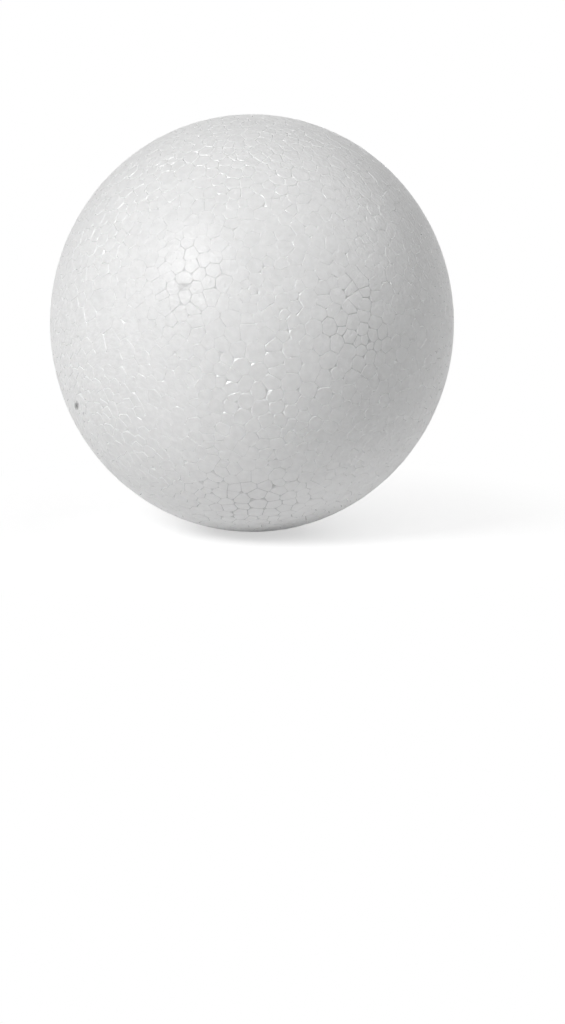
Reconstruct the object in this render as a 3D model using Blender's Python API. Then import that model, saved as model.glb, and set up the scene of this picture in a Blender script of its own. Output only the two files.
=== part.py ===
"""A ball of expanded polystyrene, moulded in one piece.

The mould closes along X, and the ball comes out a little narrower that way, so its true form is
a spheroid: an elliptical outline turned about X. Metres, +Z up, origin at the ball's centre.
"""

import math

import bmesh
import bpy
from mathutils import Matrix

# Outer size of the ball
ROUND_DIAMETER = 0.1000
CLOSING_WIDTH = 0.0968

# Fineness of the surface. Both are multiples of 4, so that points lie on all six ends of the axes.
OUTLINE_STEPS = 40
TURN_STEPS = 80

# Finish of the foam
FOAM_COLOUR = (0.87, 0.87, 0.87, 1.0)
FOAM_ROUGHNESS = 0.42


def clear_scene():
    for thing in list(bpy.data.objects):
        bpy.data.objects.remove(thing)


def foam_material():
    material = bpy.data.materials.new("white_foam")
    material.use_nodes = True
    shader = material.node_tree.nodes["Principled BSDF"]
    shader.inputs["Base Color"].default_value = FOAM_COLOUR
    shader.inputs["Roughness"].default_value = FOAM_ROUGHNESS
    shader.inputs["Metallic"].default_value = 0.0
    return material


def turned_ball(name):
    """A round ball turned about X, with its poles at the two ends of that axis, then brought to width."""
    poles_to_x = Matrix.Rotation(math.pi / 2, 4, "Y")
    to_width = Matrix.Scale(CLOSING_WIDTH / ROUND_DIAMETER, 4, (1, 0, 0))
    shape = bmesh.new()
    bmesh.ops.create_uvsphere(
        shape,
        u_segments=TURN_STEPS,
        v_segments=OUTLINE_STEPS,
        radius=ROUND_DIAMETER / 2,
        matrix=to_width @ poles_to_x,
    )
    mesh = bpy.data.meshes.new(name)
    shape.to_mesh(mesh)
    shape.free()
    mesh.shade_smooth()
    ball = bpy.data.objects.new(name, mesh)
    bpy.context.scene.collection.objects.link(ball)
    return ball


clear_scene()
foam_ball = turned_ball("foam_ball")
foam_ball.data.materials.append(foam_material())
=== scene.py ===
"""The looks of a white foam ball: its beaded skin, the floor it lies on, the light and the camera."""
import math

import bmesh
import bpy
import numpy as np
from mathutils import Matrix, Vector, noise


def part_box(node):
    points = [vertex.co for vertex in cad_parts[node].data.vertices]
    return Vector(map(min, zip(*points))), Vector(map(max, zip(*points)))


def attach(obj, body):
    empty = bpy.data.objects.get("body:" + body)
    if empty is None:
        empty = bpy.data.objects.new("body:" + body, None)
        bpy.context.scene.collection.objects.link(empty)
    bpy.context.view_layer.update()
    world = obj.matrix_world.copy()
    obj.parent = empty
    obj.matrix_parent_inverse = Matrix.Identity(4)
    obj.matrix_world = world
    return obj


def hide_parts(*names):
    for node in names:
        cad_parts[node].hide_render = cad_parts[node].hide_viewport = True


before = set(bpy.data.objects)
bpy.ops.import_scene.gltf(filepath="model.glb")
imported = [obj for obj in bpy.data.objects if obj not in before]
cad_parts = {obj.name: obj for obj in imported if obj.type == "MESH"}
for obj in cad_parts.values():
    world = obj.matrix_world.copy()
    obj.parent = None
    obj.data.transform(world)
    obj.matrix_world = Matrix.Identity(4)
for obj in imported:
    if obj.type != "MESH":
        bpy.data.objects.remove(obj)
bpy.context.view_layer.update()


# The camera stands a little above the ball and far off, on a long lens, as the photographer's did.
# The ball's middle and height in the tall picture give its place, and then any point of the skin
# can be named by the pixel that it shows at.
FRAME_COLUMNS = 565
FRAME_ROWS = 1024
BALL_COLUMN = 252.0
BALL_ROW = 323.4
BALL_HEIGHT_PIXELS = 417.0
LOOKING_DOWN = math.radians(10.7)
LENS_MM = 180.0
SENSOR_MM = 36.0

ball_low, ball_high = (Vector(corner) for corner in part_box("foam_ball"))
ball_middle = (ball_low + ball_high) / 2
ball_axes = (ball_high - ball_low) / 2

pixels_per_radian = LENS_MM / SENSOR_MM * FRAME_ROWS
camera_distance = pixels_per_radian * 2 * ball_axes.z / BALL_HEIGHT_PIXELS
to_right = Vector((1, 0, 0))
to_camera = Vector((0, -math.cos(LOOKING_DOWN), math.sin(LOOKING_DOWN)))
to_top = to_camera.cross(to_right)


def sight_line(column, row):
    """The way from the camera to what shows at a pixel, one unit deep."""
    across = (column - FRAME_COLUMNS / 2) / pixels_per_radian
    down = (row - FRAME_ROWS / 2) / pixels_per_radian
    return to_right * across - to_top * down - to_camera


camera_place = ball_middle - sight_line(BALL_COLUMN, BALL_ROW) * camera_distance


def skin_seen_at(column, row):
    """The point of the ball's skin that shows at a pixel, found as on a ball of radius 1."""
    way = sight_line(column, row)
    start = Vector(a / b for a, b in zip(camera_place - ball_middle, ball_axes))
    step = Vector(a / b for a, b in zip(way, ball_axes))
    half = start.dot(step)
    root = math.sqrt(half**2 - step.length_squared * (start.length_squared - 1))
    return camera_place + way * ((-half - root) / step.length_squared)


camera_data = bpy.data.cameras.new("camera")
camera_data.lens = LENS_MM
camera_data.sensor_width = SENSOR_MM
camera = bpy.data.objects.new("camera", camera_data)
camera.location = camera_place
camera.rotation_euler = to_camera.to_track_quat("Z", "Y").to_euler()
bpy.context.scene.collection.objects.link(camera)
bpy.context.scene.camera = camera


# The ball is one moulding of expanded polystyrene. Beads puffed up with steam fill a closed mould
# until they fuse, and each is pressed flat where it meets the mould's wall. A fine groove is left
# between two beads, a pit where three meet, and here and there a wider gap that no bead filled.

# Beads: a swollen one's middle stands out by a share of the radius, which widens it
BEAD_WIDTH = 0.00336
BEAD_SWELLING = 0.00016
EVENING_ROUNDS = 6
SHORTEST_SIDE = 0.00045
BEAD_DOME = 0.00001
BEAD_RISE = 0.00001
BEAD_TILT = 0.006

# Grooves: half widths, depth as a share of those, and how far one bows aside, first as a share of
# its length and at most of the pits at its ends
NARROWEST_GROOVE = 0.00003
WIDEST_GROOVE = 0.00016
GENTLEST_WALL = 0.55
STEEPEST_WALL = 0.95
USUAL_BOW = 0.04
MOST_BOW = 0.12

# How crisp the beads' edges are, from fused shut to open, and how it changes over the ball, then the share of
# the painted shade that a fused shut groove keeps
USUALLY_CRISP = 0.28
CRISP_IN_PATCHES = 0.35
CRISP_SPREAD = 0.45
PATCH_WIDTH = 0.020
PAINTED_SHADE_OF_FUSED = 0.4

# Pits: how far one reaches along the grooves, and its depth as a share of that
SMALLEST_PIT = 0.00014
USUAL_PIT = 0.00018
LARGEST_PIT = 0.00110
PIT_SPREAD = 0.5
PIT_GROWTH = 0.8
PIT_DEPTH = 0.42
PIT_DEPTH_SPREAD = 0.25

# Room kept free: shares of a side, of a groove, of a corner's width and of the way to a bead's
# middle, then how far a crown stands off a pit and the grooves
PIT_ROOM = 0.6
PITS_APART = 0.7
SHOULDER_ROOM = 0.45
CROWN_ROOM = 0.8
CROWN_PIT_SHARE = 0.85
CROWN_INSET = 0.000529

# Patches that the photograph shows: the pixel in the middle, the reach and the strength
CRISP_SPOTS = [
    (190.0, 285.0, 0.010, 0.35),
    (358.0, 322.0, 0.011, 0.52),
    (268.0, 405.0, 0.013, 1.00),
    (255.0, 500.0, 0.014, 0.70),
    (95.0, 400.0, 0.016, 0.60),
    (105.0, 205.0, 0.018, 0.60),
    (240.0, 145.0, 0.022, 0.95),
    (410.0, 265.0, 0.012, 0.25),
]
PITTED_SPOTS = [(268.0, 405.0, 0.014, 1.7), (250.0, 500.0, 0.012, 1.5), (95.0, 405.0, 0.013, 0.5)]
# Painted shade: spots where the walls of grooves and pits are drawn darker
PAINTED_SHADE_SPOTS = [(190.0, 285.0, 0.010, 0.35), (358.0, 322.0, 0.013, 1.0), (255.0, 505.0, 0.014, 0.8)]
OPEN_GAPS = [(184.0, 284.3)]
OPEN_GAP_PINCH = 0.00025
OPEN_GAP_DEPTH = 0.0004
# The open gap's hollow is drawn darker too, as painted shade
OPEN_GAP_PAINTED_SHADE = 0.35

# Where a point lies between a bead's top and the bottom of a groove, for the finish
IN_GROOVE = 1.0
ON_RIM = 0.5
ON_TOP = 0.0

bead_draws = np.random.default_rng(47)
axes = np.array(ball_axes)
middle_of_ball = np.array(ball_middle)
ball_area = 4 * math.pi * axes.prod() ** (2 / 3)
bead_count = round(ball_area / (math.sqrt(3) / 2 * BEAD_WIDTH**2))


def unit(rows):
    return rows / np.linalg.norm(rows, axis=-1, keepdims=True)


def outward(place):
    """The way out of the skin at a place, measured from the ball's middle."""
    return unit(place / axes**2)


def sides_of(ring):
    """The sides of an outline, each as the corners at its two ends."""
    return zip(ring, ring[1:] + ring[:1])


def meeting_points(middles):
    """The directions in which three beads meet, and for each bead those round it, anticlockwise."""
    shape = bmesh.new()
    for middle in middles:
        shape.verts.new(middle)
    shape.verts.index_update()
    bmesh.ops.convex_hull(shape, input=shape.verts)
    trios = np.array([[corner.index for corner in face.verts] for face in shape.faces])
    shape.free()
    first, second, third = (middles[trios[:, side]] for side in range(3))
    meets = unit(np.cross(second - first, third - first))
    meets *= np.sign((meets * first).sum(axis=1, keepdims=True))
    between = unit(first + second + third)
    round_bead = [[] for _ in middles]
    for index, trio in enumerate(trios):
        for bead in trio:
            round_bead[bead].append(index)
    rings = []
    for middle, ring in zip(middles, round_bead):
        if not ring:
            rings.append([])
            continue
        across = unit(np.cross(middle, between[ring[0]]))
        ahead = np.cross(across, middle)
        angles = np.arctan2(between[ring] @ across, between[ring] @ ahead)
        rings.append([ring[place] for place in np.argsort(angles)])
    return meets, rings


def bead_middles(count):
    """Directions of the beads' middles, random and then evened. One that others cover is left out."""
    middles = unit(bead_draws.normal(size=(count, 3)))
    for _ in range(EVENING_ROUNDS):
        meets, rings = meeting_points(middles)
        middles = unit(np.array([meets[ring].mean(axis=0) for ring in rings if ring]))
    return middles


def without_short_sides(meets, rings):
    """The same beads, with meeting points closer than the shortest side drawn into one."""
    leader = np.arange(len(meets))
    for ring in rings:
        for start, end in sides_of(ring):
            if np.linalg.norm(meets[start] - meets[end]) < SHORTEST_SIDE:
                leader[leader == leader[end]] = leader[start]
    kept, number = np.unique(leader, return_inverse=True)
    joined = np.array([meets[number == one].mean(axis=0) for one in range(len(kept))])
    shorter = []
    for ring in rings:
        led = number[ring]
        shorter.append([int(one) for one, before in zip(led, np.roll(led, 1)) if one != before])
    return joined, shorter


def bead_outlines():
    """Where beads meet, and each bead's outline as the meeting points round it, open gaps last."""
    middles = bead_middles(bead_count)
    swollen = middles * (1 + bead_draws.normal(0, BEAD_SWELLING, (len(middles), 1)))
    gaps = np.array([skin_seen_at(column, row) - ball_middle for column, row in OPEN_GAPS]) / axes
    meets, rings = meeting_points(np.concatenate((swollen, gaps * (1 - OPEN_GAP_PINCH))))
    return without_short_sides(meets * axes, rings)


def nearness(places, spots):
    """How strongly each place belongs to any of the spots, from 0 to the spot's strength."""
    near = np.zeros(len(places))
    for column, row, reach, strength in spots:
        away = np.linalg.norm(places + middle_of_ball - skin_seen_at(column, row), axis=1)
        near = np.maximum(near, strength * np.exp(-((away / reach) ** 2)))
    return near


def shortest_sides(meets, rings):
    """The length of the shortest side that each meeting point has."""
    shortest = np.full(len(meets), np.inf)
    for ring in rings:
        for start, end in sides_of(ring):
            shortest[start] = min(shortest[start], np.linalg.norm(meets[start] - meets[end]))
    return shortest


class FoamSkin:
    """The skin as it is built up, bead by bead, with what the finish needs to know at each point."""

    def __init__(self):
        self.places = []
        self.heights = []
        self.gaps = []
        self.shades = []
        self.tones = []
        self.faces = []
        self.grooves = {}
        self.meets, rings = bead_outlines()
        beads, open_gaps = rings[:-len(OPEN_GAPS)], rings[-len(OPEN_GAPS):]
        self.mark_corners(shortest_sides(self.meets, rings), open_gaps)
        self.pits = [self.pit(corner) for corner in range(len(self.meets))]
        for ring in beads:
            if ring:
                self.add_bead(ring)
        for ring in open_gaps:
            self.add_open_gap(ring)

    def mark_corners(self, shortest, open_gaps):
        """At each meeting point, how crisp its grooves are, how much painted shade it gets and its pit's
        reach.
        """
        patches = np.array([noise.noise(Vector(place) / PATCH_WIDTH) for place in self.meets])
        self.crisp = USUALLY_CRISP + CRISP_IN_PATCHES * patches + nearness(self.meets, CRISP_SPOTS)
        self.painted_shade = nearness(self.meets, PAINTED_SHADE_SPOTS)
        for ring in open_gaps:
            self.painted_shade[ring] = OPEN_GAP_PAINTED_SHADE
        pitted = nearness(self.meets, PITTED_SPOTS)
        reach = USUAL_PIT * np.exp(bead_draws.normal(0, PIT_SPREAD, len(self.meets)))
        reach = reach * (1 + PIT_GROWTH * pitted + PIT_GROWTH * self.crisp)
        self.reach = np.minimum(reach.clip(SMALLEST_PIT), np.minimum(LARGEST_PIT, PIT_ROOM * shortest))

    def point(self, place, height, gap, shade=0.0, tone=0.0):
        self.places.append(place)
        self.heights.append(height)
        self.gaps.append(gap)
        self.shades.append(shade)
        self.tones.append(tone)
        return len(self.places) - 1

    def pit(self, corner):
        """The lowest point of the pit at a meeting point."""
        depth = PIT_DEPTH * self.reach[corner]
        depth *= bead_draws.uniform(1 - PIT_DEPTH_SPREAD, 1 + PIT_DEPTH_SPREAD)
        return self.point(self.meets[corner], -depth, IN_GROOVE, self.painted_shade[corner])

    def new_groove(self, first, second):
        """A groove between two pits: the points along its bottom, its half width and its painted shade."""
        low, high = self.meets[first], self.meets[second]
        length = np.linalg.norm(high - low)
        along = (high - low) / length
        ends = self.reach[first], self.reach[second]
        most = MOST_BOW * min(ends) * min(1.0, length / sum(ends))
        bow = np.clip(bead_draws.normal(0, USUAL_BOW) * length, -most, most)
        aside = np.cross(outward(low), along) * bow
        crisp = (self.crisp[first] + self.crisp[second]) / 2 + bead_draws.normal(0, CRISP_SPREAD)
        crisp = min(1.0, max(0.0, crisp))
        half = NARROWEST_GROOVE + (WIDEST_GROOVE - NARROWEST_GROOVE) * crisp
        depth = half * bead_draws.uniform(GENTLEST_WALL, STEEPEST_WALL)
        shade = (self.painted_shade[first] + self.painted_shade[second]) / 2
        shade *= PAINTED_SHADE_OF_FUSED + (1 - PAINTED_SHADE_OF_FUSED) * crisp
        if sum(ends) < PITS_APART * length:
            stations = [low + along * ends[0] + aside, high - along * ends[1] + aside]
        else:
            stations = [low + along * length * ends[0] / sum(ends) + aside]
        return [self.point(place, -depth, IN_GROOVE, shade) for place in stations], half, shade

    def groove(self, start, end):
        """The groove from one pit to the next, made once for the two beads beside it."""
        key = (min(start, end), max(start, end))
        if key not in self.grooves:
            self.grooves[key] = self.new_groove(*key)
        bottom, half, shade = self.grooves[key]
        return (bottom if start < end else bottom[::-1]), half, shade

    def add_bead(self, ring):
        """One bead's top: shoulders along its grooves, a crown inside each corner, and its centre."""
        corners = self.meets[ring]
        count = len(ring)
        middle = corners.mean(axis=0)
        out = outward(middle)
        tone = bead_draws.normal(0, 1)
        rise = bead_draws.normal(0, BEAD_RISE)
        tilt = bead_draws.normal(0, BEAD_TILT, 3)

        def top(place, lift, gap, shade=0.0):
            return self.point(place, rise + tilt @ (place - middle) + lift, gap, shade, tone)

        sides = unit(np.roll(corners, -1, axis=0) - corners)
        turning = (sides * np.roll(sides, 1, axis=0)).sum(axis=1)
        openness = np.sqrt((1 + turning) / (1 - turning))
        bottoms = []
        shoulders = []
        for k, corner in enumerate(ring):
            following = (k + 1) % count
            bottom, half, shade = self.groove(corner, ring[following])
            inward = unit(np.cross(out, sides[k]))
            shoulder = []
            for place in [self.places[point] for point in bottom]:
                room = min(np.linalg.norm(place - corners[end]) * openness[end] for end in (k, following))
                edge = place + inward * min(half, SHOULDER_ROOM * room)
                shoulder.append(top(edge, 0.0, ON_RIM, shade))
            bottoms.append(bottom)
            shoulders.append(shoulder)
        crowns = []
        for corner in ring:
            inward = middle - self.meets[corner]
            room = np.linalg.norm(inward)
            inset = min(CROWN_ROOM * room, CROWN_PIT_SHARE * self.reach[corner] + CROWN_INSET)
            crowns.append(top(self.meets[corner] + inward / room * inset, BEAD_DOME / 2, ON_TOP))
        centre = top(middle, BEAD_DOME, ON_TOP)

        for k, corner in enumerate(ring):
            pit = self.pits[corner]
            crown, next_crown = crowns[k], crowns[(k + 1) % count]
            before, after, last = bottoms[k - 1][-1], bottoms[k][0], bottoms[k][-1]
            edge_before, edge_after, edge_last = shoulders[k - 1][-1], shoulders[k][0], shoulders[k][-1]
            self.faces.append((before, pit, edge_before))
            self.faces.append((pit, edge_after, edge_before))
            self.faces.append((pit, after, edge_after))
            self.faces.append((edge_before, edge_after, crown))
            if last != after:
                self.faces.append((after, last, edge_last))
                self.faces.append((after, edge_last, edge_after))
                self.faces.append((edge_after, edge_last, next_crown))
            self.faces.append((edge_after, next_crown, crown))
            self.faces.append((crown, next_crown, centre))

    def add_open_gap(self, ring):
        """A gap that no bead filled: a hollow inside the bottoms of the grooves round it, with painted shade
        at its deepest point.
        """
        edge = []
        for corner, following in sides_of(ring):
            edge += [self.pits[corner]] + self.groove(corner, following)[0]
        middle = self.meets[ring].mean(axis=0)
        deep = self.point(middle, -OPEN_GAP_DEPTH, IN_GROOVE, OPEN_GAP_PAINTED_SHADE)
        self.faces += [(edge[k - 1], edge[k], deep) for k in range(len(edge))]

    def piece(self, name):
        """The mesh object, its points set on the ball's form and then raised by their heights."""
        places = np.array(self.places)
        places = places / np.linalg.norm(places / axes, axis=1, keepdims=True)
        places = places + outward(places) * np.array(self.heights)[:, None] + middle_of_ball
        mesh = bpy.data.meshes.new(name)
        mesh.from_pydata(places.tolist(), [], self.faces)
        for mark, values in (("gap", self.gaps), ("shade", self.shades), ("bead_tone", self.tones)):
            mesh.attributes.new(mark, "FLOAT", "POINT").data.foreach_set("value", values)
        mesh.shade_smooth()
        ends = np.empty(2 * len(mesh.edges), int)
        mesh.edges.foreach_get("vertices", ends)
        start_gap, end_gap = np.array(self.gaps)[ends].reshape(-1, 2).T
        on_crease = (start_gap > ON_TOP) & (start_gap == end_gap)
        mesh.attributes.new("sharp_edge", "BOOLEAN", "EDGE").data.foreach_set("value", on_crease)
        mesh.update()
        made = bpy.data.objects.new(name, mesh)
        bpy.context.scene.collection.objects.link(made)
        return made


foam_ball = FoamSkin().piece("foam_ball_skin")


class Wire:
    """A socket in a node tree. Arithmetic on it adds Math nodes, and node() adds any other node."""

    def __init__(self, tree, socket=None):
        self.tree = tree
        self.socket = socket

    def node(self, kind, settings, inputs, output=0):
        made = self.tree.nodes.new(kind)
        for name, value in settings.items():
            setattr(made, name, value)
        for key, value in inputs.items():
            if isinstance(value, Wire):
                self.tree.links.new(value.socket, made.inputs[key])
            else:
                made.inputs[key].default_value = value
        return Wire(self.tree, made.outputs[output] if made.outputs else None)

    def math(self, operation, first, second):
        return self.node("ShaderNodeMath", {"operation": operation}, {0: first, 1: second})

    def __add__(self, other):
        return self.math("ADD", self, other)

    def __radd__(self, other):
        return self.math("ADD", other, self)

    def __sub__(self, other):
        return self.math("SUBTRACT", self, other)

    def __rsub__(self, other):
        return self.math("SUBTRACT", other, self)

    def __mul__(self, other):
        return self.math("MULTIPLY", self, other)

    def __rmul__(self, other):
        return self.math("MULTIPLY", other, self)

    def smooth(self, low, high):
        """0 below low and 1 above high, with a soft change between."""
        return self.node(
            "ShaderNodeMapRange",
            {"interpolation_type": "SMOOTHSTEP"},
            {"Value": self, "From Min": low, "From Max": high},
        )


def new_finish(name):
    """An empty material and the start of its wiring."""
    material = bpy.data.materials.new(name)
    material.use_nodes = True
    material.node_tree.nodes.clear()
    return material, Wire(material.node_tree)


# Tones: the foam's own, then how far it changes from bead to bead and over the skin, and the painted shade on
# the walls of grooves and pits
FOAM_WHITE = 0.88
BEAD_TONE = 0.005
CLOUD_TONE = 0.03
MOTTLE_TONE = 0.15
PAINTED_GAP_SHADE = 0.27

# Gloss: the satin tops, which change a little, and the clearer walls of grooves and pits
SATIN_ROUGHNESS = 0.38
CLOUD_ROUGHNESS = 0.12
BEAD_ROUGHNESS = 0.015
WALL_ROUGHNESS = 0.22
WALL_COAT = 0.85
FOAM_IOR = 1.4
WALL_IOR = 1.5

# Waves, grains and cells in a metre, and how high they stand beside the grain
CLOUDS = 60.0
MOTTLES = 600.0
GRAINS = 2000.0
CRINKLES = 1100.0
CELLS = 5200.0
CELL_HEIGHT = 0.5
CRINKLE_HEIGHT = 8.0
GRAIN_HEIGHT = 0.00002

# Light goes a little way into the foam
LIGHT_INSIDE = 0.6
LIGHT_DEPTH = 0.0012

# Flecks of dirt: the pixel, half the width and height, and the share of white left in the middle
SPECKS = [(76.7, 405.6, 0.0008, 0.0013, 0.2), (83.5, 413.5, 0.0004, 0.0005, 0.65)]
SPECK_REACH_IN = 5.0
SPECK_CORE = 0.1
SPECK_RAGGEDNESS = 0.9


def foam_finish():
    """Satin white foam with fine cells in its skin, glossier walls in its grooves, painted shade on the walls
    of some grooves and pits, and dirt specks.
    """
    material, wire = new_finish("satin_white_foam")
    place = wire.node("ShaderNodeTexCoord", {}, {}, "Object")

    def mark(name):
        """What the mesh says at each point."""
        return wire.node("ShaderNodeAttribute", {"attribute_name": name}, {}, "Fac")

    def uneven(scale, detail):
        """A soft change from place to place, above and below 0."""
        inputs = {"Vector": place, "Scale": scale, "Detail": detail}
        return wire.node("ShaderNodeTexNoise", {}, inputs, "Fac") - 0.5

    def vector_maths(operation, inputs, output=0):
        return wire.node("ShaderNodeVectorMath", {"operation": operation}, inputs, output)

    gap = mark("gap")
    shade = mark("shade")
    tone = mark("bead_tone")
    cloud = uneven(CLOUDS, 3.0)
    mottle = uneven(MOTTLES, 3.0)
    grain = uneven(GRAINS, 2.0)
    crinkle = uneven(CRINKLES, 1.0)
    cells = wire.node("ShaderNodeTexVoronoi", {}, {"Vector": place, "Scale": CELLS}, "Distance")
    on_wall = gap.smooth(ON_RIM, (ON_RIM + IN_GROOVE) / 2)

    def off_speck(column, row, wide, high):
        """0 on a fleck of dirt, of the size that shows from the camera, and 1 away from it."""
        away = vector_maths("SUBTRACT", {0: place, 1: skin_seen_at(column, row)})
        ways = (to_right / wide, to_top / high, to_camera / (SPECK_REACH_IN * (wide + high)))
        parts = [vector_maths("DOT_PRODUCT", {0: away, 1: way}, "Value") for way in ways]
        scaled = wire.node("ShaderNodeCombineXYZ", {}, dict(enumerate(parts)))
        distance = vector_maths("LENGTH", {0: scaled}, "Value")
        return (distance + SPECK_RAGGEDNESS * grain).smooth(SPECK_CORE, 1.0)

    white = FOAM_WHITE + BEAD_TONE * tone + CLOUD_TONE * cloud + MOTTLE_TONE * mottle
    # Painted shade: where the mesh marks it, the walls of grooves and pits are drawn darker
    white = white * (1.0 - PAINTED_GAP_SHADE * shade * on_wall)
    for column, row, wide, high, left in SPECKS:
        white = white * (left + (1.0 - left) * off_speck(column, row, wide, high))
    colour = wire.node("ShaderNodeCombineColor", {}, {0: white, 1: white, 2: white})
    satin = SATIN_ROUGHNESS + CLOUD_ROUGHNESS * cloud + BEAD_ROUGHNESS * tone
    roughness = satin + on_wall * (WALL_ROUGHNESS - satin)
    relief = grain + CELL_HEIGHT * cells + CRINKLE_HEIGHT * crinkle
    bump = wire.node("ShaderNodeBump", {}, {"Strength": 1.0, "Distance": GRAIN_HEIGHT, "Height": relief})
    foam = wire.node(
        "ShaderNodeBsdfPrincipled",
        {},
        {
            "Base Color": colour,
            "Roughness": roughness,
            "IOR": FOAM_IOR,
            "Coat Weight": WALL_COAT * on_wall * (1.0 - shade),
            "Coat Roughness": WALL_ROUGHNESS,
            "Coat IOR": WALL_IOR,
            "Subsurface Weight": LIGHT_INSIDE,
            "Subsurface Radius": (1.0, 1.0, 1.0),
            "Subsurface Scale": LIGHT_DEPTH,
            "Normal": bump,
        },
    )
    wire.node("ShaderNodeOutputMaterial", {}, {"Surface": foam})
    return material


foam_ball.data.materials.append(foam_finish())
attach(foam_ball, "root")
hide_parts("foam_ball")


# The ball lies on a wide white sheet, which turns to plain white away from it, so that only the
# ball's own shadow shows. The plain white is only seen and adds no light.
FLOOR_REACH = 3.0
SHADOW_NEAR = 0.02
SHADOW_FAR = 0.11
PAPER_WHITE = 0.9
PAPER_LIFT = 0.42


def seen_rays(wire):
    """1 for a thing as it is seen, straight or in gloss or glass, and 0 for the light that it adds."""
    ways = ("Is Camera Ray", "Is Glossy Ray", "Is Transmission Ray")
    camera_ray, glossy_ray, transmission_ray = (wire.node("ShaderNodeLightPath", {}, {}, way) for way in ways)
    return camera_ray + glossy_ray + transmission_ray


def paper_finish():
    material, wire = new_finish("white_paper")
    place = wire.node("ShaderNodeTexCoord", {}, {}, "Object")
    seen = seen_rays(wire)
    away = wire.node("ShaderNodeVectorMath", {"operation": "LENGTH"}, {0: place}, "Value")
    plain = away.smooth(SHADOW_NEAR, SHADOW_FAR) * seen
    tint = (PAPER_WHITE, PAPER_WHITE, PAPER_WHITE, 1.0)
    paper = wire.node("ShaderNodeBsdfDiffuse", {}, {"Color": tint})
    lift = wire.node("ShaderNodeEmission", {}, {"Strength": PAPER_LIFT * seen})
    lifted = wire.node("ShaderNodeAddShader", {}, {0: paper, 1: lift})
    white = wire.node("ShaderNodeEmission", {}, {"Strength": 1.0})
    surface = wire.node("ShaderNodeMixShader", {}, {0: plain, 1: lifted, 2: white})
    wire.node("ShaderNodeOutputMaterial", {}, {"Surface": surface})
    return material


def flat_sheet(name, reach, height):
    corners = [(x * reach, y * reach, height) for x, y in ((-1, -1), (1, -1), (1, 1), (-1, 1))]
    mesh = bpy.data.meshes.new(name)
    mesh.from_pydata(corners, [], [(0, 1, 2, 3)])
    sheet = bpy.data.objects.new(name, mesh)
    bpy.context.scene.collection.objects.link(sheet)
    return sheet


floor = flat_sheet("floor", FLOOR_REACH, ball_low.z)
floor.data.materials.append(paper_finish())


# Three soft lamps stand round the ball: a strong one at the upper left gives the broad bright patch,
# a wide one at the upper right fills, and one behind lights the far side. The room is only seen as
# white, and adds no light.
LAMP_DISTANCE = 1.2
KEY_WAY = (-0.564, -0.593, 0.572)
KEY_SIZE = 0.55
KEY_POWER = 10.1
FILL_WAY = (0.6, -0.1, 0.8)
FILL_SIZE = 1.6
FILL_POWER = 6.3
BACK_WAY = (0.0, 1.0, 0.16)
BACK_SIZE = 0.5
BACK_POWER = 4.2


def soft_lamp(name, way, size, power, seen_in_gloss=True):
    lamp = bpy.data.lights.new(name, "AREA")
    lamp.shape = "DISK"
    lamp.size = size
    lamp.energy = power
    holder = bpy.data.objects.new(name, lamp)
    holder.location = ball_middle + Vector(way).normalized() * LAMP_DISTANCE
    holder.rotation_euler = Vector(way).to_track_quat("Z", "Y").to_euler()
    holder.visible_glossy = seen_in_gloss
    bpy.context.scene.collection.objects.link(holder)


def white_room():
    world = bpy.data.worlds.new("white_room")
    world.use_nodes = True
    world.node_tree.nodes.clear()
    wire = Wire(world.node_tree)
    light = wire.node("ShaderNodeBackground", {}, {"Strength": seen_rays(wire)})
    wire.node("ShaderNodeOutputWorld", {}, {"Surface": light})
    bpy.context.scene.world = world


soft_lamp("key_lamp", KEY_WAY, KEY_SIZE, KEY_POWER)
soft_lamp("fill_lamp", FILL_WAY, FILL_SIZE, FILL_POWER)
soft_lamp("back_lamp", BACK_WAY, BACK_SIZE, BACK_POWER, seen_in_gloss=False)
white_room()

bpy.context.scene.view_settings.view_transform = "Standard"
